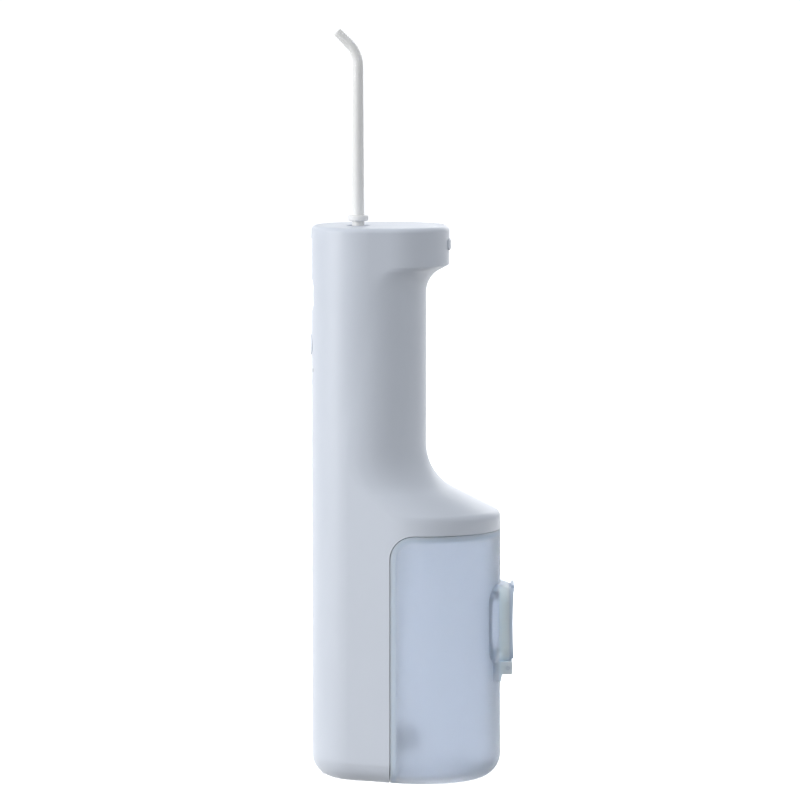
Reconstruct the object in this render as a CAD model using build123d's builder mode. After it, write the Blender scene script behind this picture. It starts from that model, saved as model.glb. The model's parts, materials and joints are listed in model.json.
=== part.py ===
"""Cordless water flosser: a slim handle with a rear water tank and an angled jet nozzle.

Millimetres, +Z up, front towards -X. The origin is the centre of the base's footprint.
"""
import math
import os

from build123d import *

os.makedirs("parts", exist_ok=True)

# ---------------------------------------------------------------- driving dimensions
body_height = 200.0       # base to the top of the head
front_radius = 20.5       # round front of every plan, from base to head
front_centre = -13.6      # x of that front circle, which is also the handle's axis
rear_radius = 28.0        # round back of the lower body
rear_centre = 6.1         # x of that rear circle
rear_end = rear_centre + rear_radius
handle_spread = 0.4       # how far the handle's rear half stands behind its front half
handle_back = front_centre + handle_spread + front_radius
head_spread = 8.6         # the same for the head
wall = 2.0                # case wall
base_fillet = 8.3         # round bottom edge of the lower body
gap = 0.06                # parting gap between neighbouring shells
tank_gap = 0.25           # groove around the tank, which slides out
lining = 0.2              # pads in the bay that the tank slides against, inside that groove

shoulder_top = 121.2      # the handle starts here
shoulder_arc = 18.0       # concave radius from the handle to the slope
shoulder_slope = 27.0     # slope of the shoulder, degrees above level
shoulder_corner = 3.0     # radius where the slope meets the upright back
cove_bottom = 176.2       # the handle ends here
cove_radius = 9.0         # concave radius under the head
cove_turn = 70.0          # degrees that the cove turns through
head_rim = 185.9          # lower edge of the head's upright side
head_fillet = 1.8         # rounded top edge of the head
rim_step = 1.9            # the top cover lies inside a rim of this width
cover_depth = 2.6         # thickness of the top cover

bay_front = -6.0          # front face of the tank
bay_top = 90.5            # top of the tank
bay_corner = 8.75         # radius of the tank's upper front corner
base_split = 6.8          # the base cover meets the case at this height
tank_wall = 1.8
tank_floor = 2.2

port_low, port_high = 46.0, 66.0      # the fill opening in the tank's back
port_width = 18.0
boss_low, boss_high, boss_width = 43.0, 69.6, 25.0
boss_face = 37.2                      # x of the face that the cap closes on
boss_flare = 19.0                     # degrees that the boss widens towards the tank's wall
cap_face = 38.8                       # x of the cap's outer face
hinge_x, hinge_z = 36.6, 40.9         # axis of the cap's hinge
hinge_pin_radius = 0.8
ear_low, ear_high, ear_face = 38.6, 43.2, 38.3      # the hinge ears' height, and x of their outer face
ear_width, ear_place = 3.0, 10.7      # their width, and how far each stands from the middle

nozzle_x = -17.3          # axis of the nozzle
nozzle_tip_height = 270.7
nozzle_bend_height = 257.0
nozzle_lean = 45.0        # degrees that the tip leans forward
nozzle_rise = 4.97        # the bend's corner stands this far above its start
nozzle_bend_radius = 11.9

button_height = 175.0     # power button
mode_height = 157.0       # mode button
release_height = 193.2    # nozzle release button, at the back of the head
button_face = -33.3       # x of the flat dish around the power button
dish_radius = 6.2
power_radius, mode_radius = 4.8, 3.8
lamp_height = mode_height - 9.0       # three indicator lamps under the mode button
lamp_pitch, lamp_radius = 4.4, 0.78
button_fit = 0.1          # clearance around a button
release_width, release_size = 11.0, 3.9

motor_radius = 10.2       # a 20 mm brushed motor
motor_low, motor_high = 100.0, 128.0
gear_teeth, pinion_teeth, gear_module = 36, 9, 0.5
gear_radius = gear_teeth * gear_module / 2          # pitch radius of the crown gear
pinion_radius = pinion_teeth * gear_module / 2
pinion_middle = 132.9
gear_height = pinion_middle + gear_radius           # z of the crown gear's axis
crank_throw = 1.4         # half of the piston's stroke
stroke = 2 * crank_throw
rod_length = 17.6
bore_radius = 4.5         # pump bore
pump_low, pump_high = 156.3, 170.5
head_top = 178.0          # top of the pump head
valve_offset = 3.7        # the two valves stand this far from the bore's axis
hose_radius = 2.0
hose_low_x = -10.7        # the suction hose's lower run, behind the cells
hose_high_x = 1.4         # its upper run, behind the motor
spigot_height = 13.0
spigot_radius = 2.3

cell_radius, cell_length, cell_low = 7.1, 50.0, 14.0
cell_x, cell_y = -17.6, 7.3
board_x, board_thickness, board_width = -28.0, 1.2, 19.0
board_low, board_high = 96.0, 183.0

BOTTOM = (Align.CENTER, Align.CENTER, Align.MIN)
ALONG_X = Plane.YZ                    # sketches here extrude towards +X
SIDE = Plane.XZ                       # side elevation, extrudes along Y


# ---------------------------------------------------------------- shared shapes
def plan(back_centre, back_radius, inset=0.0, height=0.0):
    """Plan of the body: a front circle and a rear circle inside one taut outline."""
    front_r, back_r = front_radius - inset, back_radius - inset
    lean = math.asin((back_r - front_r) / (back_centre - front_centre))
    sine, cosine = math.sin(lean), math.cos(lean)
    front = (front_centre - front_r * sine, front_r * cosine)
    back = (back_centre - back_r * sine, back_r * cosine)
    with BuildSketch() as outline:
        with BuildLine():
            ThreePointArc(front, (front_centre - front_r, 0), (front[0], -front[1]))
            Line((front[0], -front[1]), (back[0], -back[1]))
            ThreePointArc((back[0], -back[1]), (back_centre + back_r, 0), back)
            Line(back, front)
        make_face()
    return outline.sketch.moved(Location((0, 0, height)))


def base_plan(inset=0.0, height=0.0):
    return plan(rear_centre, rear_radius, inset, height)


def head_plan(inset=0.0, height=0.0):
    return plan(front_centre + head_spread, front_radius, inset, height)


def handle_plan(inset=0.0, height=0.0):
    return plan(front_centre + handle_spread, front_radius, inset, height)


def growing_plan(back_x, inset, height):
    """Plan on the shoulder: its sides keep the base's lean while its back moves to back_x."""
    flare = (rear_radius - front_radius) / (rear_centre - front_centre)
    spread = (back_x - front_centre - front_radius) / (1 + flare)
    return plan(front_centre + spread, front_radius + flare * spread, inset, height)


def shoulder_points():
    """Back edge of the shoulder: the concave arc top down, then the convex corner."""
    turn = 90 - shoulder_slope
    arc = []
    for step in range(7):
        angle = math.radians(turn * step / 6)
        arc.append((handle_back + shoulder_arc * (1 - math.cos(angle)),
                    shoulder_top - shoulder_arc * math.sin(angle)))
    x, z = arc[-1]
    corner_low = (z - math.tan(math.radians(shoulder_slope)) * (rear_end - x)
                  - shoulder_corner * math.tan(math.radians(turn / 2)))
    corner = []
    for step in range(5):
        angle = math.radians(turn * (1 - step / 4))
        corner.append((rear_end - shoulder_corner * (1 - math.cos(angle)),
                       corner_low + shoulder_corner * math.sin(angle)))
    return arc, corner


def cove_points():
    """Back edge of the cove under the head, bottom up."""
    points = []
    for step in range(6):
        angle = math.radians(cove_turn * step / 5)
        points.append((handle_back + cove_radius * (1 - math.cos(angle)),
                       cove_bottom + cove_radius * math.sin(angle)))
    return points


def body_form(inset=0.0, sink=0.0, bottom=0.0, top=body_height, edge=base_fillet):
    """The whole body without the tank bay, drawn in by inset and lowered by sink."""
    arc, corner = [[(x, z - sink) for x, z in curve] for curve in shoulder_points()]
    cove = [(x, z + sink) for x, z in cove_points()]
    rim = head_rim + sink
    with BuildPart() as form:
        extrude(base_plan(inset, bottom), amount=corner[-1][1] - bottom)
        fillet(form.edges().group_by(Axis.Z)[0], radius=edge)
        loft([growing_plan(x, inset, z) for x, z in reversed(corner)])
        loft([growing_plan(x, inset, z) for x, z in (corner[0], arc[-1])], ruled=True)
        loft([growing_plan(x, inset, z) for x, z in reversed(arc)])
        loft([growing_plan(handle_back, inset, arc[0][1]), handle_plan(inset, cove[0][1])], ruled=True)
        loft([plan(x - front_radius, front_radius, inset, z) for x, z in cove])
        loft([plan(cove[-1][0] - front_radius, front_radius, inset, cove[-1][1]),
              head_plan(inset, rim)], ruled=True)
        extrude(head_plan(inset, rim), amount=top - rim)
        fillet(form.edges().group_by(Axis.Z)[-1], radius=head_fillet)
    return form.part


def bay_block(inset=0.0, left=bay_front, top=bay_top, low=-5.0):
    """The space that the tank fills, with its rounded upper front corner."""
    with BuildPart() as block:
        with BuildSketch(SIDE):
            with Locations((left + inset, low)):
                Rectangle(80, top - inset - low, align=(Align.MIN, Align.MIN))
        extrude(amount=40, both=True)
        corner = block.edges().filter_by(Axis.Y).group_by(Axis.Z)[-1].sort_by(Axis.X)[0]
        fillet(corner, radius=max(bay_corner - inset, 1))
    return block.part


def front_plan(inset, height):
    """Plan of the chamber in front of the tank."""
    with BuildSketch() as outline:
        add(base_plan(inset))
        with Locations((bay_front - gap - inset, 0)):
            Rectangle(80, 80, align=(Align.MAX, Align.CENTER), mode=Mode.INTERSECT)
    return outline.sketch.moved(Location((0, 0, height)))


def post(radius, low, high, mode=Mode.ADD):
    """An upright cylinder between two heights, in the part being built."""
    with Locations((0, 0, low)):
        Cylinder(radius, high - low, align=BOTTOM, mode=mode)


def coil(radius, wire, length, turns, start):
    """A round-wire compression spring between wire centres, standing on the plane start."""
    with BuildPart() as spring:
        with BuildLine():
            path = Helix(pitch=length / turns, height=length, radius=radius)
        with BuildSketch(Plane(origin=path @ 0, z_dir=path % 0)):
            Circle(wire)
        sweep(path=path, is_frenet=True)
    return spring.part.moved(start.location)


def finish(piece, label):
    """Name a finished piece and write its STEP file."""
    piece.part.label = label
    export_step(piece.part, f"parts/{label}.step")


# ---------------------------------------------------------------- case
outer = body_form()
inner_room = body_form(inset=wall, sink=1.8, bottom=-4, top=body_height - 4, edge=base_fillet - wall)
with BuildPart() as cavity:
    add(inner_room)
    add(bay_block(inset=-wall), mode=Mode.SUBTRACT)

lining_width = 38.0
with BuildPart() as bay_lining:
    add(bay_block())
    add(bay_block(inset=lining), mode=Mode.SUBTRACT)
    with Locations((bay_front, 0, base_split)):
        Box(34, lining_width, bay_top, align=(Align.MIN, Align.CENTER, Align.MIN), mode=Mode.INTERSECT)

cover_low = body_height - cover_depth
ledge, ledge_depth = 1.5, 1.9          # the top cover rests on a ledge this wide and this thick
before_front = -40.0                   # x of a plane ahead of the whole body
with BuildPart() as main_case:
    add(outer)
    add(bay_block(), mode=Mode.SUBTRACT)
    add(cavity.part, mode=Mode.SUBTRACT)
    add(bay_lining.part)
    extrude(base_plan(-5, -1), amount=base_split + 1, mode=Mode.SUBTRACT)
    extrude(head_plan(rim_step + ledge, cover_low - ledge_depth), amount=10, mode=Mode.SUBTRACT)
    extrude(head_plan(rim_step, cover_low), amount=10, mode=Mode.SUBTRACT)
    with BuildSketch(ALONG_X.offset(before_front)):
        with Locations((0, button_height)):
            Circle(dish_radius)
    extrude(amount=button_face - before_front, mode=Mode.SUBTRACT)
    with BuildSketch(ALONG_X.offset(before_front)):
        with Locations((0, button_height)):
            Circle(power_radius + button_fit)
        with Locations((0, mode_height)):
            Circle(mode_radius + button_fit)
        with Locations((0, lamp_height)):
            with GridLocations(lamp_pitch, 1, 3, 1):
                Circle(lamp_radius + 0.02)
    extrude(amount=15, mode=Mode.SUBTRACT)
    with BuildSketch(ALONG_X.offset(10)):
        with Locations((0, release_height)):
            RectangleRounded(release_width + 2 * button_fit, release_size + 2 * button_fit, 1.6)
    extrude(amount=10, mode=Mode.SUBTRACT)
    with BuildSketch(ALONG_X.offset(bay_front - 3)):
        with Locations((0, spigot_height)):
            Circle(spigot_radius + 0.05)
    extrude(amount=4, mode=Mode.SUBTRACT)
finish(main_case, "main_case")

stop_low = release_height - 2.8        # the release spring pushes on a stop below the top cover
with BuildPart() as top_cover:
    extrude(head_plan(rim_step + gap, cover_low), amount=cover_depth)
    with Locations((nozzle_x, 0)):
        post(4.3, body_height - 5, body_height + 5, Mode.SUBTRACT)
    fillet(top_cover.edges().group_by(Axis.Z)[-1], radius=0.3)
    with Locations((2, 0, stop_low)):
        Box(2.4, 12, body_height - 2 - stop_low, align=BOTTOM)
    with BuildSketch(ALONG_X):
        with Locations((0, release_height)):
            Circle(1.6)
    extrude(amount=5, mode=Mode.SUBTRACT)
finish(top_cover, "top_cover")

base_screw_places = ((-28.6, 0), (-12, 14.2), (-12, -14.2))
lip_inset, base_floor = 2.5, 1.8       # the base cover's lip stands inside the case wall
with BuildPart() as base_room:
    extrude(front_plan(3.6, base_floor), amount=10)
    fillet(base_room.edges().group_by(Axis.Z)[0], radius=4.2)

with BuildPart() as base_cover:
    add(outer)
    extrude(base_plan(-5, base_split), amount=body_height, mode=Mode.SUBTRACT)
    with Locations((bay_front - gap, 0)):
        Box(80, 90, 60, align=(Align.MIN, Align.CENTER, Align.CENTER), mode=Mode.SUBTRACT)
    extrude(front_plan(lip_inset, base_split - 1), amount=3)
    add(base_room.part, mode=Mode.SUBTRACT)
    with Locations((bay_front - gap, 0, 0.3)):
        Box(gap + lining, 30, base_split - 0.4, align=(Align.MIN, Align.CENTER, Align.MIN))
    with Locations(*base_screw_places):
        post(2.2, 1.0, base_split + 2.0)
        post(1.15, -1, base_split + 3, Mode.SUBTRACT)
        post(2.0, -1, 1.6, Mode.SUBTRACT)
finish(base_cover, "base_cover")

with BuildPart() as base_gasket:
    extrude(front_plan(2.05, base_split), amount=1.0)
    extrude(front_plan(lip_inset, base_split - 1), amount=4, mode=Mode.SUBTRACT)
finish(base_gasket, "base_gasket")

with BuildPart() as base_screws:
    with Locations(*base_screw_places):
        post(1.1, 1.6, 11.6)
        post(1.85, 0.5, 1.6)
        with Locations((0, 0, 0.5)):
            Box(2.2, 0.5, 0.8, mode=Mode.SUBTRACT)
            Box(0.5, 2.2, 0.8, mode=Mode.SUBTRACT)
finish(base_screws, "base_screws")

# ---------------------------------------------------------------- battery and charging
holder_plate = 1.8
with BuildPart() as battery_holder:
    for low in (cell_low - 0.4 - holder_plate, cell_low + cell_length + 0.4):
        extrude(front_plan(wall + 0.1, low), amount=holder_plate)
    with Locations((cell_x - 6.6, 0, cell_low - 1)):
        Box(4.0, 3.2, cell_length + 2.5, align=BOTTOM)
    with Locations(*base_screw_places):
        post(2.2, base_split + 2.0, cell_low - 2.2)
        post(1.1, base_split, cell_low, Mode.SUBTRACT)
    with Locations((cell_x, cell_y), (cell_x, -cell_y)):
        post(cell_radius + 0.1, cell_low - 0.4, cell_low + cell_length + 0.4, Mode.SUBTRACT)
        post(3.5, cell_low - 5, cell_low + cell_length + 5, Mode.SUBTRACT)
    with Locations((hose_low_x + 1.2, 0, 0)):
        Box(8.5, 5.6, 200, mode=Mode.SUBTRACT)
finish(battery_holder, "battery_holder")

with BuildPart() as battery_cells:
    with Locations((cell_x, cell_y), (cell_x, -cell_y)):
        post(cell_radius, cell_low + 0.5, cell_low + cell_length - 1)
        post(2.7, cell_low + cell_length - 1, cell_low + cell_length)
        post(6.2, cell_low, cell_low + 0.5)
finish(battery_cells, "battery_cells")

with BuildPart() as battery_contacts:
    with Locations((cell_x, 0, cell_low + cell_length)):
        Box(5.0, 2 * cell_y + 5, 0.3, align=BOTTOM)
    with Locations((cell_x, cell_y, cell_low - 0.3), (cell_x, -cell_y, cell_low - 0.3)):
        Box(5.0, 5.0, 0.3, align=BOTTOM)
finish(battery_contacts, "battery_contacts")

coil_x, coil_radius = -18.6, 7.2
with BuildPart() as charging_coil:
    with Locations((coil_x, 0)):
        post(coil_radius, 2.6, 4.3)
        post(3.4, 2, 6, Mode.SUBTRACT)
finish(charging_coil, "charging_coil")

with BuildPart() as coil_ferrite:
    with Locations((coil_x, 0)):
        post(coil_radius, 4.3, 5.8)
        post(3.2, 2.2, 4.3)
finish(coil_ferrite, "coil_ferrite")

# ---------------------------------------------------------------- motor and crown gear
with BuildPart() as motor_can:
    with Locations((front_centre, 0)):
        post(motor_radius, motor_low, motor_high)
        post(3.0, motor_high, motor_high + 1.2)
        post(motor_radius - 0.8, motor_low - 1, motor_high - 1, Mode.SUBTRACT)
        post(1.04, motor_low - 1, motor_high + 5, Mode.SUBTRACT)
finish(motor_can, "motor_can")

with BuildPart() as motor_end_cap:
    with Locations((front_centre, 0)):
        post(motor_radius - 0.5, motor_low - 1.6, motor_low)
        post(motor_radius - 0.85, motor_low, motor_low + 1.4)
        post(1.04, motor_low - 0.8, motor_low + 5, Mode.SUBTRACT)
finish(motor_end_cap, "motor_end_cap")

with BuildPart() as motor_armature:
    with Locations((front_centre, 0)):
        post(motor_radius - 2.2, motor_low + 4, motor_high - 4)
        with PolarLocations(motor_radius - 2.6, 3):
            Box(5, 1.4, 2 * motor_high, mode=Mode.SUBTRACT)
        post(1.0, motor_low, motor_high, Mode.SUBTRACT)
finish(motor_armature, "motor_armature")

with BuildPart() as motor_shaft:
    with Locations((front_centre, 0)):
        post(1.0, motor_low - 0.4, pinion_middle + 2.4)
finish(motor_shaft, "motor_shaft")

with BuildPart() as motor_pinion:
    with BuildSketch(Plane(origin=(front_centre, 0, pinion_middle - 2.0))):
        Circle(pinion_radius - 0.6)
        with PolarLocations(pinion_radius - 0.8, pinion_teeth, start_angle=90):
            Polygon((0, -0.46), (1.2, -0.2), (1.2, 0.2), (0, 0.46), align=None)
        Circle(1.0, mode=Mode.SUBTRACT)
    extrude(amount=4.0)
finish(motor_pinion, "motor_pinion")

frame_low, frame_high = motor_high + 1.2, pump_low - 0.8
crown_face = 3.0          # y of the crown gear's flat face, behind its teeth
with BuildPart() as gearbox_frame:
    with Locations((front_centre, 1.2, frame_low)):
        Box(20, 21.6, frame_high - frame_low, align=BOTTOM)
    with Locations((front_centre, -0.4, frame_low + 1.8)):
        Box(21, 14.8, frame_high - frame_low - 3.6, align=BOTTOM, mode=Mode.SUBTRACT)
    with Locations((front_centre, 0)):
        post(front_radius - wall - 0.2, frame_low, frame_low + 1.8)
        post(motor_radius + 1.2, motor_high - 6, frame_low + 1.8)
        post(motor_radius + 0.05, motor_high - 7, motor_high, Mode.SUBTRACT)
        post(3.4, motor_high - 1, frame_low + 5, Mode.SUBTRACT)
        post(bore_radius + 0.6, frame_high - 5, frame_high + 1, Mode.SUBTRACT)
        with PolarLocations(7.1, 2, start_angle=90):
            post(0.75, frame_high - 3, frame_high + 1, Mode.SUBTRACT)
    with Locations((board_x, 0, frame_low)):
        Box(board_thickness + 0.1, board_width + 0.1, 20, mode=Mode.SUBTRACT)
    with Locations((hose_high_x + 2, 0, frame_low)):
        Box(9, 5.2, 20, mode=Mode.SUBTRACT)
    with BuildSketch(SIDE.offset(-20)):
        with Locations((front_centre, gear_height)):
            Circle(2.6)
    extrude(amount=13, mode=Mode.SUBTRACT)
finish(gearbox_frame, "gearbox_frame")


def across(radius, low_y, high_y, x=front_centre, z=gear_height, mode=Mode.ADD):
    """A cylinder lying along Y between two sides, in the part being built."""
    with Locations(Location((x, low_y, z), (-90, 0, 0))):
        Cylinder(radius, high_y - low_y, align=BOTTOM, mode=mode)


with BuildPart() as axle_bush:
    across(2.6, 7.0, 12.0)
    across(3.4, 6.2, 7.0)
    across(1.53, 5, 13, mode=Mode.SUBTRACT)
finish(axle_bush, "axle_bush")

tooth_plane = Plane(origin=(front_centre, crown_face, gear_height), x_dir=(0, 0, -1), z_dir=(0, -1, 0))
with BuildPart() as crown_gear:
    across(gear_radius + 1.2, crown_face, crown_face + 1.6)
    across(3.0, crown_face + 1.6, 6.1)
    with BuildSketch(tooth_plane):
        with PolarLocations(gear_radius - 0.95, gear_teeth, start_angle=180 / gear_teeth):
            Rectangle(2.1, 0.66, align=(Align.MIN, Align.CENTER))
    extrude(amount=1.15, taper=8)
    across(1.5, 0, 8, mode=Mode.SUBTRACT)
    across(1.0, 0, 8, z=gear_height + crank_throw, mode=Mode.SUBTRACT)
finish(crown_gear, "crown_gear")

with BuildPart() as gear_axle:
    across(1.5, crown_face + 1.0, 12.6)
    across(1.0, 0, 8, z=gear_height + crank_throw, mode=Mode.SUBTRACT)
finish(gear_axle, "gear_axle")

with BuildPart() as crank_pin:
    across(1.0, -2.6, crown_face + 1.6, z=gear_height + crank_throw)
finish(crank_pin, "crank_pin")

# ---------------------------------------------------------------- pump
pin_height = gear_height + crank_throw
ball_height = pin_height + rod_length
with BuildPart() as connecting_rod:
    across(2.8, -1.7, 1.7, z=pin_height)
    with Locations((front_centre, 0, pin_height)):
        Box(2.4, 2.4, rod_length, align=BOTTOM)
    with Locations((front_centre, 0, ball_height)):
        Sphere(1.8)
    across(1.03, -3, 3, z=pin_height, mode=Mode.SUBTRACT)
finish(connecting_rod, "connecting_rod")

piston_low, piston_top = pump_low + 0.2, pump_high - 1.0
seal_low, seal_high, seal_bore = piston_top - 2.0, piston_top - 0.9, bore_radius - 0.9


def seal_ring(radius):
    """The piston's seal, or with a larger radius the groove that it lies in."""
    with BuildPart() as ring:
        with Locations((front_centre, 0)):
            post(radius, seal_low, seal_high)
            post(seal_bore, seal_low - 1, seal_high + 1, Mode.SUBTRACT)
    return ring


seal_groove = seal_ring(bore_radius + 1)
with BuildPart() as piston:
    with Locations((front_centre, 0)):
        post(bore_radius - 0.08, piston_low, piston_top)
        post(3.5, piston_low - 1, ball_height + 1.8 + stroke + 0.4, Mode.SUBTRACT)
    add(seal_groove.part, mode=Mode.SUBTRACT)
finish(piston, "piston")

with BuildPart() as piston_seal:
    add(seal_ring(bore_radius - 0.03).part)
finish(piston_seal, "piston_seal")

with BuildPart() as pump_cylinder:
    with Locations((front_centre, 0)):
        post(6.2, frame_high, pump_high)
        post(8.6, frame_high, frame_high + 1.6)
        post(8.0, pump_high - 1.6, pump_high)
        post(bore_radius, frame_high - 1, pump_high + 1, Mode.SUBTRACT)
        with PolarLocations(7.1, 2, start_angle=90):
            post(0.8, frame_high - 1, pump_high + 1, Mode.SUBTRACT)
finish(pump_cylinder, "pump_cylinder")

with BuildPart() as pump_head_seal:
    with Locations((front_centre, 0)):
        post(6.0, pump_high, pump_high + 0.6)
        post(bore_radius, pump_high - 1, pump_high + 1, Mode.SUBTRACT)
finish(pump_head_seal, "pump_head_seal")

inlet_x, outlet_x = front_centre + valve_offset - 0.9, front_centre - valve_offset
lug_height = 173.4        # underside of the lug that carries the hose barb
passage, chamber = 1.0, 1.9                         # radii of the water passages and valve chambers
inlet_floor, inlet_seat = pump_high + 1.5, pump_high + 4.9
outlet_seat = pump_high + 2.4
channel_height = inlet_seat + passage
with BuildPart() as pump_head:
    with Locations((front_centre, 0)):
        post(8.0, pump_high, head_top)
        post(6.0, pump_high - 1, pump_high + 0.6, Mode.SUBTRACT)
        with PolarLocations(7.1, 2, start_angle=90):
            post(0.8, pump_high - 1, head_top + 1, Mode.SUBTRACT)
    with Locations(((inlet_x + hose_high_x + 2.4) / 2, 0, lug_height)):
        Box(hose_high_x + 2.4 - inlet_x, 6.0, head_top - lug_height, align=BOTTOM)
    with Locations((hose_high_x, 0)):
        post(1.6, lug_height - 5, lug_height)
        post(passage, lug_height - 6, channel_height, Mode.SUBTRACT)
    with Locations((inlet_x, 0)):
        post(passage, pump_high, channel_height, Mode.SUBTRACT)
        post(chamber, inlet_floor, inlet_seat, Mode.SUBTRACT)
    with Locations(((inlet_x + hose_high_x) / 2, 0, channel_height)):
        Box(hose_high_x - inlet_x, 1.6, 1.6, mode=Mode.SUBTRACT)
    with Locations((outlet_x, 0)):
        post(passage, pump_high, head_top, Mode.SUBTRACT)
        post(chamber, outlet_seat, head_top + 1, Mode.SUBTRACT)
finish(pump_head, "pump_head")

with BuildPart() as pump_screws:
    with Locations((front_centre, 0)):
        with PolarLocations(7.1, 2, start_angle=90):
            post(0.75, frame_high - 1.6, head_top)
            post(1.4, head_top, head_top + 1.0)
finish(pump_screws, "pump_screws")

# ---------------------------------------------------------------- valves and water path
ball_radius, valve_wire = 1.4, 0.2
seat_drop = math.sqrt(ball_radius ** 2 - passage ** 2) + 0.02      # ball centre to its seat's edge
inlet_ball_height = inlet_seat - seat_drop
outlet_ball_height = outlet_seat + seat_drop
with BuildPart() as inlet_valve_ball:
    with Locations((inlet_x, 0, inlet_ball_height)):
        Sphere(ball_radius)
finish(inlet_valve_ball, "inlet_valve_ball")

with BuildPart() as outlet_valve_ball:
    with Locations((outlet_x, 0, outlet_ball_height)):
        Sphere(ball_radius)
finish(outlet_valve_ball, "outlet_valve_ball")

inlet_spring_length = inlet_ball_height - ball_radius - inlet_floor - 2 * valve_wire - 0.05
with BuildPart() as inlet_spring:
    inlet_start = Plane(origin=(inlet_x, 0, inlet_floor + valve_wire + 0.02))
    add(coil(1.2, valve_wire, inlet_spring_length, 1.5, inlet_start))
finish(inlet_spring, "inlet_spring")

outlet_spring_low = outlet_ball_height + ball_radius + valve_wire + 0.02
with BuildPart() as outlet_spring:
    outlet_start = Plane(origin=(outlet_x, 0, outlet_spring_low))
    add(coil(1.2, valve_wire, head_top - outlet_spring_low - valve_wire - 0.03, 3, outlet_start))
finish(outlet_spring, "outlet_spring")

with BuildPart() as intake_spigot:
    with Locations(Location((hose_low_x - hose_radius, 0, spigot_height), (0, 90, 0))):
        Cylinder(spigot_radius, 9.9, align=BOTTOM)
    with Locations((hose_low_x, 0)):
        post(spigot_radius, spigot_height, spigot_height + 6)
        post(1.5, spigot_height, spigot_height + 10)
        post(1.0, spigot_height, spigot_height + 11, Mode.SUBTRACT)
    with Locations(Location((hose_low_x, 0, spigot_height), (0, 90, 0))):
        Cylinder(1.4, 9, align=BOTTOM, mode=Mode.SUBTRACT)
finish(intake_spigot, "intake_spigot")

hose_points = (
    (hose_low_x, 0, spigot_height + 6),
    (hose_low_x, 0, 87.5),
    (hose_high_x, 0, 99.8),
    (hose_high_x, 0, lug_height),
)
with BuildPart() as suction_hose:
    with BuildLine():
        hose_path = FilletPolyline(*hose_points, radius=[10, 10])
    with BuildSketch(Plane(origin=hose_points[0])):
        Circle(hose_radius)
    sweep(path=hose_path)
    with BuildSketch(Plane(origin=hose_points[0])):
        Circle(1.25)
    sweep(path=hose_path, mode=Mode.SUBTRACT)
    with Locations((hose_low_x, 0)):
        post(1.5, spigot_height, spigot_height + 10, Mode.SUBTRACT)
    with Locations((hose_high_x, 0)):
        post(1.6, lug_height - 5, lug_height, Mode.SUBTRACT)
finish(suction_hose, "suction_hose")

# ---------------------------------------------------------------- nozzle
socket_low = head_top + 1.4
chuck_low, chuck_high, chuck_top = 186.0, 196.0, 199.4      # the chuck's foot, shoulder and top
with BuildPart() as nozzle_socket:
    with Locations((nozzle_x, 0)):
        post(5.0, head_top, socket_low)
        post(7.0, socket_low, chuck_high + 0.4)
        post(1.0, head_top - 1, socket_low + 1, Mode.SUBTRACT)
        post(2.15, socket_low, chuck_low, Mode.SUBTRACT)
        post(5.55, chuck_low - 0.2, chuck_high + 1, Mode.SUBTRACT)
    with Locations((nozzle_x + 6, 0, release_height)):
        Box(6, 4.4, 5, mode=Mode.SUBTRACT)
finish(nozzle_socket, "nozzle_socket")

with BuildPart() as socket_seal:
    with Locations((nozzle_x, 0)):
        post(6.6, chuck_high + 0.4, cover_low)
        post(4.6, chuck_high, body_height, Mode.SUBTRACT)
finish(socket_seal, "socket_seal")

clip_reach = 2.98          # half the distance between the clip's legs
with BuildPart() as nozzle_chuck:
    with Locations((nozzle_x, 0)):
        post(5.5, chuck_low, chuck_high)
        post(4.2, chuck_high, chuck_top)
        post(3.06, chuck_low - 1, body_height + 1, Mode.SUBTRACT)
    with Locations((nozzle_x, 0, release_height)):
        Box(12, 2 * clip_reach + 0.9, 0.9, mode=Mode.SUBTRACT)
finish(nozzle_chuck, "nozzle_chuck")

with BuildPart() as nozzle_clip:
    clip_plane = Plane(origin=(nozzle_x, 0, release_height))
    with BuildLine(clip_plane):
        Line((-3.4, -clip_reach), (1.7, -clip_reach))
        ThreePointArc((1.7, -clip_reach), (1.7 + clip_reach, 0), (1.7, clip_reach))
        Line((1.7, clip_reach), (-3.4, clip_reach))
    with BuildSketch(Plane(origin=(nozzle_x - 3.4, -clip_reach, release_height), z_dir=(1, 0, 0))):
        Circle(0.35)
    sweep()
finish(nozzle_clip, "nozzle_clip")

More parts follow.
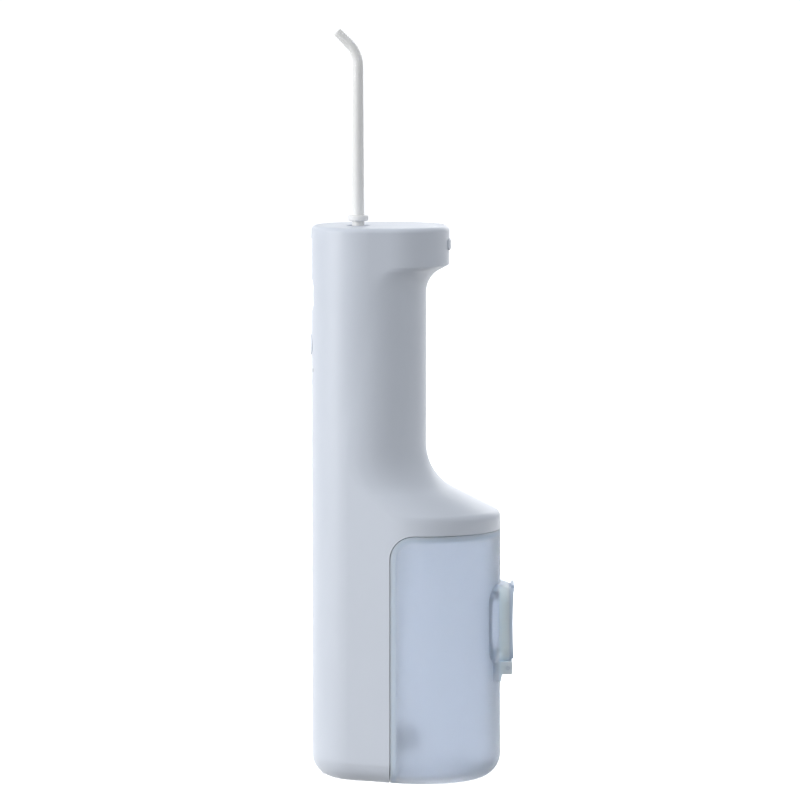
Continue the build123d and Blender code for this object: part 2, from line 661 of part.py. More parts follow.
collar_low, collar_high = 201.6, 203.6
nozzle_base, nozzle_neck, nozzle_end = 2.2, 1.85, 1.6      # outer radii up the nozzle
tip_rise = math.sin(math.radians(90 - nozzle_lean)) * nozzle_end
bend_corner = nozzle_bend_height + nozzle_rise
reach = nozzle_tip_height - tip_rise - bend_corner          # how far the tip goes forward, and up
with BuildPart() as nozzle:
    with Locations((nozzle_x, 0)):
        post(1.9, socket_low + 0.6, chuck_low)
        post(3.0, chuck_low, chuck_top)
        post(nozzle_base, chuck_top, collar_high)
        with Locations((0, 0, collar_high)):
            Cone(nozzle_base, nozzle_neck, nozzle_bend_height - collar_high, align=BOTTOM)
    with BuildLine(SIDE):
        nozzle_path = FilletPolyline(
            (nozzle_x, nozzle_bend_height), (nozzle_x, bend_corner),
            (nozzle_x - reach, bend_corner + reach), radius=nozzle_bend_radius)
    with BuildSketch(Plane(origin=(nozzle_x, 0, nozzle_bend_height))):
        Circle(nozzle_neck)
    with BuildSketch(Plane(origin=nozzle_path @ 1, z_dir=nozzle_path % 1)):
        Circle(nozzle_end)
    sweep(path=nozzle_path, multisection=True)
    tip_face = nozzle.faces().sort_by(Axis((0, 0, 0), (-1, 0, 1)))[-1]
    fillet(tip_face.edges(), radius=0.5)
    with BuildSketch(Plane(origin=nozzle_path @ 1, z_dir=nozzle_path % 1)):
        Circle(0.45)
    extrude(amount=-6, mode=Mode.SUBTRACT)
    with Locations((nozzle_x, 0)):
        post(0.8, socket_low, nozzle_bend_height, Mode.SUBTRACT)
        with Locations((0, 0, release_height)):
            Torus(3.05, 0.46, mode=Mode.SUBTRACT)
        with Locations((0, 0, socket_low + 2.6)):
            Torus(1.72, 0.42, mode=Mode.SUBTRACT)
finish(nozzle, "nozzle")

with BuildPart() as nozzle_o_ring:
    with Locations((nozzle_x, 0, socket_low + 2.6)):
        Torus(1.72, 0.4)
finish(nozzle_o_ring, "nozzle_o_ring")

with BuildPart() as nozzle_collar:
    with Locations((nozzle_x, 0)):
        post(3.65, collar_low, collar_high)
        fillet(nozzle_collar.edges(), radius=0.5)
        post(nozzle_base, collar_low - 1, collar_high + 1, Mode.SUBTRACT)
finish(nozzle_collar, "nozzle_collar")

# ---------------------------------------------------------------- buttons and board
with BuildPart() as release_button:
    with BuildSketch(ALONG_X.offset(11)):
        with Locations((0, release_height)):
            RectangleRounded(release_width, release_size, 1.5)
    extrude(amount=8)
    extrude(head_plan(-0.7, release_height - 4), amount=8, mode=Mode.INTERSECT)
    fillet(release_button.faces().sort_by(Axis.X)[-1].edges(), radius=0.45)
    with BuildSketch(ALONG_X.offset(11)):
        with Locations((0, release_height)):
            Rectangle(release_width + 1.4, release_size + 0.7)
    extrude(amount=1)
finish(release_button, "release_button")

slider_tip, slider_root = nozzle_x + 6.9, 11.0
with BuildPart() as release_slider:
    with Locations(Location((slider_tip, 0, release_height), (0, 90, 0))):
        Cylinder(1.3, slider_root - slider_tip, align=BOTTOM)
finish(release_slider, "release_slider")

with BuildPart() as release_spring:
    spring_start = Plane(origin=(3.6, 0, release_height), z_dir=(1, 0, 0))
    add(coil(1.9, 0.25, 7.1, 5, spring_start))
finish(release_spring, "release_spring")

flange_face = -31.0        # x of the front of the buttons' flanges


def front_button(radius, height, proud):
    """A push button in the front wall, with a flange behind the wall."""
    with BuildPart() as button:
        with BuildSketch(ALONG_X.offset(before_front)):
            with Locations((0, height)):
                Circle(radius)
        extrude(amount=flange_face + 0.6 - before_front)
        extrude(handle_plan(-proud, height - 8), amount=16, mode=Mode.INTERSECT)
        with BuildSketch(ALONG_X.offset(flange_face)):
            with Locations((0, height)):
                Circle(radius + 0.9)
        extrude(amount=0.6)
    return button.part


finger_dish = 30.2         # radius of the shallow dish in the power button
with BuildPart() as power_button:
    add(front_button(power_radius, button_height, 0.0))
    with Locations((button_face - 0.15, 0, button_height)):
        Box(60, 20, 20, align=(Align.MAX, Align.CENTER, Align.CENTER), mode=Mode.SUBTRACT)
    fillet(power_button.faces().sort_by(Axis.X)[0].edges(), radius=0.3)
    with Locations((button_face - finger_dish + 0.2, 0, button_height)):
        Sphere(finger_dish, mode=Mode.SUBTRACT)
finish(power_button, "power_button")

with BuildPart() as mode_button:
    add(front_button(mode_radius, mode_height, 0.3))
    fillet(mode_button.faces().sort_by(Axis.X)[0].edges(), radius=0.25)
finish(mode_button, "mode_button")

with BuildPart() as indicator_lenses:
    with BuildSketch(ALONG_X.offset(before_front)):
        with Locations((0, lamp_height)):
            with GridLocations(lamp_pitch, 1, 3, 1):
                Circle(lamp_radius)
    extrude(amount=-29.6 - before_front)
    extrude(handle_plan(0.03, lamp_height - 3), amount=6, mode=Mode.INTERSECT)
finish(indicator_lenses, "indicator_lenses")

board_front = board_x - board_thickness / 2
with BuildPart() as circuit_board:
    with Locations((board_x, 0, board_low)):
        Box(board_thickness, board_width, board_high - board_low, align=BOTTOM)
finish(circuit_board, "circuit_board")

with BuildPart() as board_components:
    for height in (button_height, mode_height):
        with Locations((board_front - 0.3, 0, height)):
            Box(0.6, 6, 6)
        with Locations(Location((board_front - 0.8, 0, height), (0, 90, 0))):
            Cylinder(1.2, 0.4)
    with Locations(*[(board_front - 0.4, y, lamp_height) for y in (-lamp_pitch, 0, lamp_pitch)]):
        Box(0.8, 1.6, 1.2)
    with Locations((board_front - 0.6, 0, 120)):
        Box(1.2, 7, 7)
    with Locations(*[(board_front - 0.5, y, z) for y, z in ((-5.5, 108), (5.5, 108), (5, 135))]):
        Box(1.0, 2.4, 3.4)
finish(board_components, "board_components")

# ---------------------------------------------------------------- water tank
panel_low, panel_high, panel_width = 4.4, bay_top - bay_corner - 2.0, 45.6
panel_front = bay_front + tank_gap
panel_back = panel_front + tank_wall


def panel_slab(front, back):
    """The tank's front panel, between two places along X."""
    with BuildPart() as slab:
        with BuildSketch(ALONG_X.offset(front)):
            with Locations((0, (panel_low + panel_high) / 2)):
                RectangleRounded(panel_width, panel_high - panel_low, 6)
        extrude(amount=back - front)
    return slab.part


with BuildPart() as tank_room:
    extrude(base_plan(tank_wall, tank_floor), amount=bay_top)
    fillet(tank_room.edges().group_by(Axis.Z)[0], radius=base_fillet - tank_wall)
    add(bay_block(inset=tank_gap + tank_wall), mode=Mode.INTERSECT)

tank_back = 29.0          # x of a plane inside the tank's rear wall, where the boss and the ears start
gusset = 2.6              # height of the small rib under each ear
with BuildPart() as hinge_ears:
    with BuildSketch(SIDE):
        with Locations((tank_back, ear_low)):
            Rectangle(ear_face - tank_back, ear_high - ear_low, align=(Align.MIN, Align.MIN))
    extrude(amount=ear_place + ear_width / 2, both=True)
    fillet(hinge_ears.edges().filter_by(Axis.Y).group_by(Axis.X)[-1], radius=0.6)
    with BuildSketch(SIDE):
        Polygon((tank_back, ear_low), (tank_back, ear_low - gusset), (rear_end, ear_low - gusset),
                (rear_end + 0.5, ear_low), align=None)
    extrude(amount=ear_place + ear_width / 2, both=True)
    Box(200, 2 * ear_place - ear_width, 200, mode=Mode.SUBTRACT)

with BuildPart() as tank_shell:
    add(outer)
    add(bay_block(inset=tank_gap), mode=Mode.INTERSECT)
    with BuildSketch(ALONG_X.offset(boss_face)):
        with Locations((0, (boss_low + boss_high) / 2)):
            RectangleRounded(boss_width, boss_high - boss_low, 5)
    extrude(amount=tank_back - boss_face, taper=-boss_flare)
    add(hinge_ears.part)
    add(tank_room.part, mode=Mode.SUBTRACT)
    add(panel_slab(bay_front - 1, panel_back + 1), mode=Mode.SUBTRACT)
    with BuildSketch(ALONG_X.offset(25)):
        with Locations((0, (port_low + port_high) / 2)):
            RectangleRounded(port_width, port_high - port_low, 4)
    extrude(amount=15, mode=Mode.SUBTRACT)
    across(hinge_pin_radius, -20, 20, hinge_x, hinge_z, Mode.SUBTRACT)
finish(tank_shell, "tank_shell")

with BuildPart() as tank_front_plate:
    add(panel_slab(panel_front, panel_back))
    with Locations(Location((bay_front - 1, 0, spigot_height), (0, 90, 0))):
        Cylinder(3.6, 5, align=BOTTOM, mode=Mode.SUBTRACT)
finish(tank_front_plate, "tank_front_plate")

with BuildPart() as spigot_bushing:
    with Locations(Location((panel_front, 0, spigot_height), (0, 90, 0))):
        Cylinder(3.6, panel_back + 1.2 - panel_front, align=BOTTOM)
    with Locations(Location((panel_back, 0, spigot_height), (0, 90, 0))):
        Cylinder(4.6, 1.2, align=BOTTOM)
    with Locations(Location((bay_front - 1, 0, spigot_height), (0, 90, 0))):
        Cylinder(2.36, 8, align=BOTTOM, mode=Mode.SUBTRACT)
finish(spigot_bushing, "spigot_bushing")

filter_front = panel_back + 1.2
with BuildPart() as intake_filter:
    with Locations(Location((filter_front, 0, spigot_height), (0, 90, 0))):
        Cylinder(4.2, 8, align=BOTTOM)
    with Locations(Location((filter_front - 1, 0, spigot_height), (0, 90, 0))):
        Cylinder(3.4, 8, align=BOTTOM, mode=Mode.SUBTRACT)
    for turn in (0, 45, 90, 135):
        with Locations(Location((filter_front + 4.2, 0, spigot_height), (turn, 0, 0))):
            Box(4.4, 1.6, 12, mode=Mode.SUBTRACT)
finish(intake_filter, "intake_filter")

with BuildPart() as cap_hinge_pin:
    pin_end = ear_place + ear_width / 2
    across(hinge_pin_radius, -pin_end, pin_end, hinge_x, hinge_z)
finish(cap_hinge_pin, "cap_hinge_pin")

flap_low, flap_high = 43.7, 69.4
flap_middle = (flap_low + flap_high) / 2
flap_back = boss_face + gap
hollow_radius, hollow_depth = 185.0, 0.45           # the cap's outer face is slightly hollow
knuckle_radius = 1.65
lip_low, lip_high, lip_face = 68.2, 70.4, 39.1      # the finger lip at the cap's top
with BuildPart() as fill_cap:
    with BuildSketch(ALONG_X.offset(flap_back)):
        with Locations((0, flap_middle)):
            RectangleRounded(boss_width - 1, flap_high - flap_low, 4.6)
    extrude(amount=cap_face - flap_back)
    fillet(fill_cap.faces().sort_by(Axis.X)[-1].edges(), radius=0.5)
    across(hollow_radius, -20, 20, cap_face + hollow_radius - hollow_depth, flap_middle, Mode.SUBTRACT)
    with Locations((38.0, 0, lip_low)):
        Box(lip_face - 38.0, 14, lip_high - lip_low, align=(Align.MIN, Align.CENTER, Align.MIN))
    fillet(fill_cap.faces().sort_by(Axis.X)[-1].edges(), radius=0.35)
    across(knuckle_radius, -8.9, 8.9, hinge_x, hinge_z)
    with Locations((flap_back, 0, hinge_z)):
        Box(0.84, 17.8, flap_low + 1 - hinge_z, align=(Align.MIN, Align.CENTER, Align.MIN))
    with BuildSketch(ALONG_X.offset(flap_back)):
        with Locations((0, (port_low + port_high) / 2)):
            RectangleRounded(port_width - 1, port_high - port_low - 1, 3.5)
    extrude(amount=-1.8)
    across(hinge_pin_radius + 0.06, -20, 20, hinge_x, hinge_z, Mode.SUBTRACT)
finish(fill_cap, "fill_cap")

with BuildPart() as cap_gasket:
    with BuildSketch(ALONG_X.offset(flap_back - 1.5)):
        with Locations((0, (port_low + port_high) / 2)):
            RectangleRounded(port_width - 0.3, port_high - port_low - 0.3, 3.85)
            RectangleRounded(port_width - 1, port_high - port_low - 1, 3.5, mode=Mode.SUBTRACT)
    extrude(amount=1.3)
finish(cap_gasket, "cap_gasket")
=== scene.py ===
"""Looks for the water flosser: materials, button marks, camera, floor and light."""
import json
import math

import bpy
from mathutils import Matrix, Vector
from mathutils.bvhtree import BVHTree


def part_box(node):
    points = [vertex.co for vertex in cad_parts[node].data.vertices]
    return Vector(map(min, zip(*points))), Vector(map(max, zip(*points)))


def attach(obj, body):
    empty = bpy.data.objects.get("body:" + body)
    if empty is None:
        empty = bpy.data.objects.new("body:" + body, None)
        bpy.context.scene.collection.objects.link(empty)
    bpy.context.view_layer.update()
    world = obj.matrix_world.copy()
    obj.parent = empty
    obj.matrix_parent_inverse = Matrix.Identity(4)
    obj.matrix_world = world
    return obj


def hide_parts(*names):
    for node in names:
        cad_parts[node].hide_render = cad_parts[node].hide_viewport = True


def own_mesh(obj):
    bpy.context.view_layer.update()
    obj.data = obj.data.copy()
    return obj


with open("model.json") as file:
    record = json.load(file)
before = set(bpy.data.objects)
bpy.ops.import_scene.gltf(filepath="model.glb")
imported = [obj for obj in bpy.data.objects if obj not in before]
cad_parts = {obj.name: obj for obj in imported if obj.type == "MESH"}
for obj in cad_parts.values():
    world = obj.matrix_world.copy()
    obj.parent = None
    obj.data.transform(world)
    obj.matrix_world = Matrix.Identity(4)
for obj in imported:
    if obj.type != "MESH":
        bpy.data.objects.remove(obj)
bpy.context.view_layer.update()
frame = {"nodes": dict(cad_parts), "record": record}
MM = 0.001
FRONT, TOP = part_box("tank_shell")[0].x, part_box("tank_shell")[1].z
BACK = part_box("main_case")[1].x                # the tank's back runs on from the case's
CORNER = 8.5 * MM                              # radius of the tank's upper front corner
BOSS_LOW, BOSS_HIGH = 36.5 * MM, 70 * MM       # the fill cap's boss, from the foot of the hinge ears


# ---------------------------------------------------------------- material helpers
def new_material(name):
    """A material with nothing but its shader; returns the material, its tree and the shader."""
    material = bpy.data.materials.new(name)
    material.use_nodes = True
    tree = material.node_tree
    return material, tree, tree.nodes["Principled BSDF"]


def object_space(tree, stretch=(1, 1, 1)):
    """Coordinates that stay with the piece as it moves, stretched by a factor along each axis."""
    space = tree.nodes.new("ShaderNodeTexCoord").outputs["Object"]
    mapping = tree.nodes.new("ShaderNodeMapping")
    mapping.inputs["Scale"].default_value = [1 / factor for factor in stretch]
    tree.links.new(space, mapping.inputs["Vector"])
    return mapping.outputs["Vector"]


def noise(tree, space, size, detail=2.0):
    """Noise whose features are about size metres across."""
    node = tree.nodes.new("ShaderNodeTexNoise")
    node.inputs["Scale"].default_value = 1.0 / size
    node.inputs["Detail"].default_value = detail
    tree.links.new(space, node.inputs["Vector"])
    return node.outputs["Fac"]


def bands(tree, space, axis, pitch, ragged=0.4):
    """Bands across an axis, one pitch apart."""
    node = tree.nodes.new("ShaderNodeTexWave")
    node.bands_direction = axis
    node.inputs["Scale"].default_value = 1 / pitch / math.pi
    node.inputs["Distortion"].default_value = ragged
    tree.links.new(space, node.inputs["Vector"])
    return node.outputs["Fac"]


def remap(tree, value, low, high, start=0.0, end=1.0):
    """Value from start to end mapped to a range from low to high."""
    node = tree.nodes.new("ShaderNodeMapRange")
    node.inputs["From Min"].default_value = start
    node.inputs["From Max"].default_value = end
    node.inputs["To Min"].default_value = low
    node.inputs["To Max"].default_value = high
    tree.links.new(value, node.inputs["Value"])
    return node.outputs["Result"]


def blend_colour(tree, factor, first, second):
    """A colour between two, by a factor."""
    node = tree.nodes.new("ShaderNodeMix")
    node.data_type = "RGBA"
    node.inputs["A"].default_value = (*first, 1)
    node.inputs["B"].default_value = (*second, 1)
    tree.links.new(factor, node.inputs["Factor"])
    return node.outputs["Result"]


def choose(tree, operation, first, second):
    """The larger or the smaller of two values: the operation is MAXIMUM or MINIMUM."""
    node = tree.nodes.new("ShaderNodeMath")
    node.operation = operation
    tree.links.new(first, node.inputs[0])
    tree.links.new(second, node.inputs[1])
    return node.outputs["Value"]


def bump(tree, shader, height, strength, distance):
    """Relief in the shader's normal, distance metres deep."""
    node = tree.nodes.new("ShaderNodeBump")
    node.inputs["Strength"].default_value = strength
    node.inputs["Distance"].default_value = distance
    tree.links.new(height, node.inputs["Height"])
    tree.links.new(node.outputs["Normal"], shader.inputs["Normal"])


def darker(colour, share):
    return [channel * (1 - share) for channel in colour]


# ---------------------------------------------------------------- materials
def moulded(name, colour, roughness=0.42, grain=0.35 * MM, depth=0.01 * MM, shift=0.03, **sockets):
    """Moulded plastic or rubber: a fine eroded grain, slow colour drift and uneven gloss."""
    material, tree, shader = new_material(name)
    space = object_space(tree)
    drift = noise(tree, space, 30 * MM)
    tree.links.new(blend_colour(tree, drift, colour, darker(colour, shift)), shader.inputs["Base Color"])
    gloss = noise(tree, space, 8 * MM, 4)
    tree.links.new(remap(tree, gloss, roughness - 0.06, roughness + 0.06), shader.inputs["Roughness"])
    bump(tree, shader, noise(tree, space, grain, 1), 0.25, depth)
    for socket, value in sockets.items():
        shader.inputs[socket.replace("_", " ")].default_value = value
    return material


def frosted_tank(name, colour, rim_painted_light, boss_painted_light, clear=0.76, clearer=0.875, milky=0.1, **sockets):
    """Frosted wall that lets less light through at its rim and boss, and more round its back and foot."""
    material = moulded(name, colour, 0.56, shift=0.015, **sockets)
    tree = material.node_tree
    shader = tree.nodes["Principled BSDF"]
    split = tree.nodes.new("ShaderNodeSeparateXYZ")
    tree.links.new(object_space(tree), split.inputs[0])
    x, z = split.outputs["X"], split.outputs["Z"]
    rim_width, rim_fade = 1.35 * MM, 1.3 * MM
    boss_fade, slow_fade = 1 * MM, 11 * MM
    outer_wall, back_edge, foot_edge = BACK - 0.3 * MM, BACK - 1.1 * MM, 2 * MM

    # The rim follows the upper front corner: it goes by the distance in front of and above the arc's centre.
    from_centre = tree.nodes.new("ShaderNodeCombineXYZ")
    tree.links.new(remap(tree, x, CORNER, 0, FRONT, FRONT + CORNER), from_centre.inputs[0])
    tree.links.new(remap(tree, z, 0, CORNER, TOP - CORNER, TOP), from_centre.inputs[1])
    distance = tree.nodes.new("ShaderNodeVectorMath")
    distance.operation = "LENGTH"
    tree.links.new(from_centre.outputs[0], distance.inputs[0])
    # The rim band's colour, together with its lower transmission, is painted light: it lifts the shade that
    # falls on the edge-on wall at the rim.
    rim_start = CORNER - rim_width
    rim = remap(tree, distance.outputs["Value"], 0, 1, rim_start - rim_fade, rim_start)

    # The boss's lighter colour is painted light that lifts the shade on the boss's sides.
    above_foot = remap(tree, z, 0, 1, BOSS_LOW - boss_fade, BOSS_LOW)
    below_top = remap(tree, z, 1, 0, BOSS_HIGH, BOSS_HIGH + boss_fade)
    outside = remap(tree, x, 0, 1, outer_wall - boss_fade, outer_wall)
    boss = choose(tree, "MINIMUM", outside, choose(tree, "MINIMUM", above_foot, below_top))

    shade = tree.nodes.new("ShaderNodeMix")
    shade.data_type = "RGBA"
    shade.inputs["B"].default_value = (*boss_painted_light, 1)
    tree.links.new(blend_colour(tree, rim, colour, rim_painted_light), shade.inputs["A"])
    tree.links.new(boss, shade.inputs["Factor"])
    tree.links.new(shade.outputs["Result"], shader.inputs["Base Color"])

    back = remap(tree, x, clear, clearer, back_edge - slow_fade, back_edge)
    foot = remap(tree, z, clearer, clear, foot_edge, foot_edge + slow_fade)
    through = tree.nodes.new("ShaderNodeMix")
    through.inputs["B"].default_value = milky
    tree.links.new(choose(tree, "MAXIMUM", back, foot), through.inputs["A"])
    tree.links.new(choose(tree, "MAXIMUM", rim, boss), through.inputs["Factor"])
    tree.links.new(through.outputs["Result"], shader.inputs["Transmission Weight"])
    return material


def metal(name, colour, roughness=0.28, stretch=(1, 1, 30)):
    """Metal with fine drawing or turning marks along the axis that is stretched."""
    material, tree, shader = new_material(name)
    space = object_space(tree)
    marks = noise(tree, object_space(tree, stretch), 0.08 * MM, 3)
    tarnish = noise(tree, space, 5 * MM, 4)
    tree.links.new(blend_colour(tree, tarnish, colour, darker(colour, 0.18)), shader.inputs["Base Color"])
    tree.links.new(remap(tree, marks, roughness - 0.08, roughness + 0.12), shader.inputs["Roughness"])
    shader.inputs["Metallic"].default_value = 1.0
    bump(tree, shader, marks, 0.3, 0.004 * MM)
    return material


def windings(name, axis):
    """Enamelled copper wire, laid turn beside turn."""
    material, tree, shader = new_material(name)
    turns = bands(tree, object_space(tree), axis, 0.3 * MM)
    # The dark groove colour between the turns is painted shade.
    groove_painted_shade, copper_colour = (0.16, 0.045, 0.015), (0.72, 0.30, 0.13)
    tree.links.new(blend_colour(tree, turns, groove_painted_shade, copper_colour), shader.inputs["Base Color"])
    shader.inputs["Metallic"].default_value = 0.85
    shader.inputs["Roughness"].default_value = 0.32
    shader.inputs["Coat Weight"].default_value = 0.5
    bump(tree, shader, turns, 0.8, 0.1 * MM)
    return material


def shrink_sleeve(name, colour):
    """Heat-shrunk sleeve over a cell: glossy, with long soft wrinkles."""
    material, tree, shader = new_material(name)
    wrinkles = noise(tree, object_space(tree, (1, 1, 8)), 1.2 * MM, 3)
    tree.links.new(blend_colour(tree, wrinkles, colour, darker(colour, 0.3)), shader.inputs["Base Color"])
    tree.links.new(remap(tree, wrinkles, 0.22, 0.36), shader.inputs["Roughness"])
    shader.inputs["Coat Weight"].default_value = 0.3
    bump(tree, shader, wrinkles, 0.4, 0.08 * MM)
    return material


def printed_board(name):
    """Solder mask over copper tracks that run up the board."""
    material, tree, shader = new_material(name)
    space = object_space(tree)
    tracks = tree.nodes.new("ShaderNodeTexBrick")
    tracks.inputs["Scale"].default_value = 1.0
    tracks.inputs["Brick Width"].default_value = 1.6 * MM
    tracks.inputs["Row Height"].default_value = 4.8 * MM
    tracks.inputs["Mortar Size"].default_value = 0.14 * MM
    turned = tree.nodes.new("ShaderNodeMapping")
    turned.inputs["Rotation"].default_value = (0, math.radians(90), math.radians(90))
    tree.links.new(space, turned.inputs["Vector"])
    tree.links.new(turned.outputs["Vector"], tracks.inputs["Vector"])
    mask_colour, track_colour = (0.008, 0.062, 0.02), (0.04, 0.17, 0.05)
    colour = blend_colour(tree, tracks.outputs["Fac"], mask_colour, track_colour)
    tree.links.new(colour, shader.inputs["Base Color"])
    shader.inputs["Roughness"].default_value = 0.3
    shader.inputs["Coat Weight"].default_value = 0.4
    bump(tree, shader, tracks.outputs["Fac"], 0.5, 0.03 * MM)
    return material


CASE = (0.60, 0.64, 0.71)
# The tank's rim colour is painted light that lifts the shade on its edge-on rim band.
TANK, TANK_RIM_PAINTED_LIGHT, TANK_BOSS_PAINTED_LIGHT = (0.66, 0.70, 0.765), (0.62, 0.70, 0.80), (0.78, 0.88, 1.0)
# The plate's pale colour is partly its own frosted tone and partly painted light, standing in for the light
# the white case reflects onto it.
PLATE_TONE_AND_BOUNCE_LIGHT = (0.80, 0.84, 0.90)
CAP = (0.64, 0.74, 0.87)
NOZZLE = (0.88, 0.88, 0.87)
COLLAR = (0.93, 0.93, 0.93)
SILICONE = (0.80, 0.84, 0.88)
SOFT = {"Subsurface_Weight": 0.15, "Subsurface_Radius": (1.0, 1.0, 1.1), "Subsurface_Scale": 1.5 * MM}
MILKY = {"Subsurface_Weight": 1.0, "Subsurface_Radius": (1.0, 1.0, 1.0), "Subsurface_Scale": 4 * MM}
case = moulded("case_abs", CASE, 0.42, **SOFT)
# The boss colour passed here is painted light that lifts the shade on the boss's sides.
tank = frosted_tank("tank_frosted", TANK, TANK_RIM_PAINTED_LIGHT, TANK_BOSS_PAINTED_LIGHT, IOR=1.2, **MILKY)
plate = moulded("plate_frosted", PLATE_TONE_AND_BOUNCE_LIGHT, 0.56, shift=0.015, Transmission_Weight=0.3, IOR=1.2, **MILKY)
cap = moulded("cap_frosted", CAP, 0.5, shift=0.015, Transmission_Weight=0.1, **SOFT)
nozzle = moulded("nozzle_frosted", NOZZLE, 0.45, shift=0.01, Transmission_Weight=0.12, IOR=1.4, **SOFT)
collar = moulded("collar_frosted", COLLAR, 0.5, shift=0.01, Transmission_Weight=0.2, IOR=1.3, **SOFT)
silicone = moulded("silicone_clear", SILICONE, 0.55, Transmission_Weight=0.8, IOR=1.2, **MILKY)
steel = metal("stainless", (0.56, 0.56, 0.58))

by_slot = {
    "case": case, "case_top": case, "case_base": case, "button": case, "release_button": case, "chuck": case,
    "tank": tank, "tank_plate": plate, "tank_cap": cap, "nozzle": nozzle, "nozzle_collar": collar,
    "cap_gasket": silicone, "hose": silicone, "screw_steel": steel,
    "seal_rubber": moulded("silicone_dark", (0.035, 0.035, 0.038), 0.62, Sheen_Weight=0.2),
    "inner_plastic": moulded("natural_abs", (0.66, 0.65, 0.61), 0.5, depth=0.02 * MM),
    "filter": moulded("filter_white", (0.80, 0.82, 0.84), 0.5, Transmission_Weight=0.6, IOR=1.2),
    "cell_wrap": shrink_sleeve("cell_sleeve", (0.03, 0.17, 0.07)),
    "nickel": metal("nickel_plate", (0.66, 0.63, 0.57), 0.22),
    "copper": windings("copper_wire", "Z"),
    "ferrite": moulded("ferrite", (0.022, 0.022, 0.024), 0.6, grain=0.12 * MM, depth=0.03 * MM, shift=0.3),
    "gear_plastic": moulded("acetal", (0.80, 0.79, 0.74), 0.36, **SOFT),
    "bush_brass": metal("sintered_bronze", (0.62, 0.42, 0.17), 0.42, (1, 30, 1)),
    "pump_plastic": moulded("glass_filled", (0.07, 0.072, 0.08), 0.52,
                            grain=0.2 * MM, depth=0.02 * MM, shift=0.2),
    "lens": moulded("light_guide", (0.80, 0.84, 0.88), 0.2, Transmission_Weight=0.6),
    "board": printed_board("solder_mask"),
    "components": moulded("package_black", (0.012, 0.012, 0.014), 0.5, grain=0.1 * MM),
}
by_node = {"charging_coil": windings("coil_wire", "X")}
for part in frame["record"]["subparts"]:
    slots = frame["nodes"][part["node"]].data.materials
    slots.clear()
    slots.append(by_node.get(part["node"], by_slot[part["material_slot"]]))


# ---------------------------------------------------------------- button marks
def ribbon(points, width, closed=False):
    """Pairs of points, left and right of a line of (y, z) points, half a width away."""
    pairs = []
    count = len(points)
    for index, point in enumerate(points):
        before = points[index - 1] if closed or index else point
        after = points[(index + 1) % count] if closed or index < count - 1 else point
        along = (after - before).normalized()
        across = Vector((-along.y, along.x)) * width / 2
        pairs.append((point + across, point - across))
    return pairs


def printed_mark(name, node, body, lines, material):
    """Marks printed on the front of a button: each line is (points, width, closed) about its middle."""
    low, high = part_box(node)
    middle = Vector(((low[1] + high[1]) / 2, (low[2] + high[2]) / 2))
    tree = BVHTree.FromObject(frame["nodes"][node], bpy.context.evaluated_depsgraph_get())
    proud, buried = 0.02 * MM, 0.05 * MM
    vertices, faces = [], []
    for points, width, closed in lines:
        pairs = ribbon(points, width, closed)
        first = len(vertices)
        for pair in pairs:
            for point in pair:
                y, z = point + middle
                front = tree.ray_cast(Vector((low[0] - 5 * MM, y, z)), Vector((1, 0, 0)))[0].x
                vertices += [(front - proud, y, z), (front + buried, y, z)]
        steps = len(pairs) if closed else len(pairs) - 1
        for step in range(steps):
            a, b = first + 4 * step, first + 4 * ((step + 1) % len(pairs))
            faces += [(a, a + 2, b + 2, b), (a + 1, b + 1, b + 3, a + 3),
                      (a, b, b + 1, a + 1), (a + 2, a + 3, b + 3, b + 2)]
        if not closed:
            last = first + 4 * steps
            faces += [(first, first + 1, first + 3, first + 2), (last, last + 2, last + 3, last + 1)]
    mesh = bpy.data.meshes.new(name)
    mesh.from_pydata(vertices, [], faces)
    mesh.materials.append(material)
    mark = bpy.data.objects.new(name, mesh)
    bpy.context.scene.collection.objects.link(mark)
    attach(mark, body)


def arc(radius, start, end, steps=40):
    """Points on an arc about the origin, from one angle to another in degrees."""
    angles = [math.radians(start + (end - start) * step / steps) for step in range(steps + 1)]
    return [Vector((radius * math.cos(angle), radius * math.sin(angle))) for angle in angles]


ink = moulded("mark_grey", (0.20, 0.23, 0.27), 0.5)
ring_radius, power_stroke = 1.7 * MM, 0.36 * MM
bar = [Vector((0, 0.5 * MM)), Vector((0, 2.3 * MM))]
power_lines = [(arc(ring_radius, 125, 415), power_stroke, False), (bar, power_stroke, False)]
printed_mark("power_mark", "power_button", "power_button", power_lines, ink)
drop_radius, drop_stroke = 1.15 * MM, 0.3 * MM
drop_tip, drop_middle = Vector((0, 1.9 * MM)), Vector((0, -0.5 * MM))
drop = [drop_tip] + [point + drop_middle for point in arc(drop_radius, 150, 390)]
printed_mark("mode_mark", "mode_button", "mode_button", [(drop, drop_stroke, True)], ink)

# ---------------------------------------------------------------- release spring
spring = bpy.data.objects.new("button_spring", frame["nodes"]["release_spring"].data.copy())
bpy.context.scene.collection.objects.link(spring)
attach(spring, "handle")
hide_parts("release_spring")
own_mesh(spring)

# ---------------------------------------------------------------- floor and backdrop
LIGHT_ABOVE = 0.84       # the room's light from above the horizon
LIGHT_BELOW = 0.22       # and from below it
HORIZON = 0.3            # how far up and down the one turns into the other
BACKDROP_LIGHT = 1.1     # the white wall behind, as the camera sees it and through the tank
BACKDROP = Vector((0, 1, -0.05))
# The wall fades out between two angles from its middle.
WALL_FULL, WALL_GONE = math.radians(40), math.radians(56)
FLOOR_HALF = 3.0
floor_mesh = bpy.data.meshes.new("floor")
corners = [(x * FLOOR_HALF, y * FLOOR_HALF, 0) for x, y in ((-1, -1), (1, -1), (1, 1), (-1, 1))]
floor_mesh.from_pydata(corners, [], [(0, 1, 2, 3)])
floor = bpy.data.objects.new("floor", floor_mesh)
bpy.context.scene.collection.objects.link(floor)
floor_material, floor_tree, floor_shader = new_material("floor_white")
floor_shader.inputs["Base Color"].default_value = (0.93, 0.93, 0.93, 1)
floor_shader.inputs["Roughness"].default_value = 0.9
floor_mesh.materials.append(floor_material)
floor.visible_diffuse = False

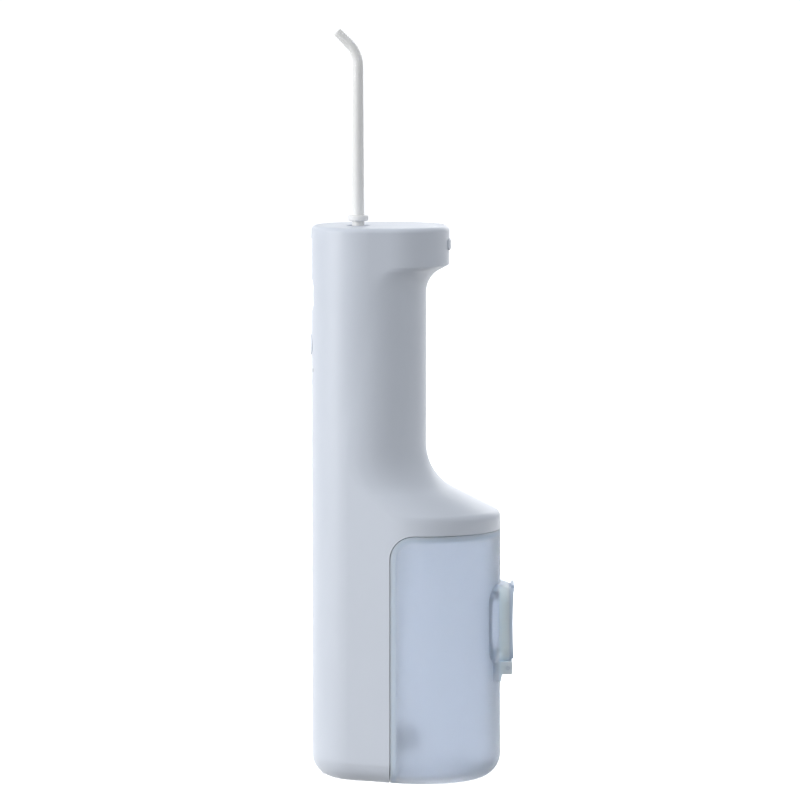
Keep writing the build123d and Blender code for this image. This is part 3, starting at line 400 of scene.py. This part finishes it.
world = bpy.data.worlds.new("studio")
world.use_nodes = True
studio = world.node_tree
backdrop = studio.nodes["Background"]
backdrop.inputs["Color"].default_value = (0.955, 0.975, 1, 1)
direction = studio.nodes.new("ShaderNodeTexCoord").outputs["Generated"]
facing = studio.nodes.new("ShaderNodeVectorMath")
facing.operation = "DOT_PRODUCT"
facing.inputs[1].default_value = BACKDROP.normalized()
studio.links.new(direction, facing.inputs[0])
wall = remap(studio, facing.outputs["Value"], 0, 1, math.cos(WALL_GONE), math.cos(WALL_FULL))
height = studio.nodes.new("ShaderNodeSeparateXYZ")
studio.links.new(direction, height.inputs[0])
room = remap(studio, height.outputs["Z"], LIGHT_BELOW, LIGHT_ABOVE, -HORIZON, HORIZON)
camera_ray = studio.nodes.new("ShaderNodeLightPath").outputs["Is Camera Ray"]
white = choose(studio, "MAXIMUM", wall, camera_ray)
strength = studio.nodes.new("ShaderNodeMix")
strength.inputs["B"].default_value = BACKDROP_LIGHT
studio.links.new(white, strength.inputs["Factor"])
studio.links.new(room, strength.inputs["A"])
studio.links.new(strength.outputs["Result"], backdrop.inputs["Strength"])
bpy.context.scene.world = world
bpy.context.scene.view_settings.view_transform = "Standard"


# ---------------------------------------------------------------- lights
def soft_box(name, place, target, size, power):
    """A square studio light that faces a point."""
    data = bpy.data.lights.new(name, "AREA")
    data.shape = "SQUARE"
    data.size = size
    data.energy = power
    light = bpy.data.objects.new(name, data)
    bpy.context.scene.collection.objects.link(light)
    light.location = place
    light.rotation_euler = (Vector(target) - Vector(place)).to_track_quat("-Z", "Y").to_euler()


MIDDLE = (0, 0, 0.12)
soft_box("key", (-1.43, -0.46, 0.45), MIDDLE, 0.8, 14.5)
soft_box("behind", (0.5, 1.6, 0.7), MIDDLE, 1.0, 6)
floor_lamp = bpy.data.lights.new("floor_lamp", "SUN")
floor_lamp.energy = 3.25
floor_lamp.use_shadow = False
floor_sun = bpy.data.objects.new("floor_sun", floor_lamp)
bpy.context.scene.collection.objects.link(floor_sun)
floor_only = bpy.data.collections.new("floor_only")
floor_only.objects.link(floor)
floor_sun.light_linking.receiver_collection = floor_only

# ---------------------------------------------------------------- camera
SIDEWAYS = -2.25 * MM    # the photograph is centred this far in front of the object's middle
DISTANCE, EYE_HEIGHT, AIM_HEIGHT = 1.9, 0.3188, 0.1368
camera_data = bpy.data.cameras.new("camera")
camera_data.lens = 238
camera_data.sensor_width = 36
camera = bpy.data.objects.new("camera", camera_data)
bpy.context.scene.collection.objects.link(camera)
camera.location = (SIDEWAYS, -DISTANCE, EYE_HEIGHT)
aim = Vector((SIDEWAYS, 0, AIM_HEIGHT))
camera.rotation_euler = (aim - camera.location).to_track_quat("-Z", "Y").to_euler()
bpy.context.scene.camera = camera
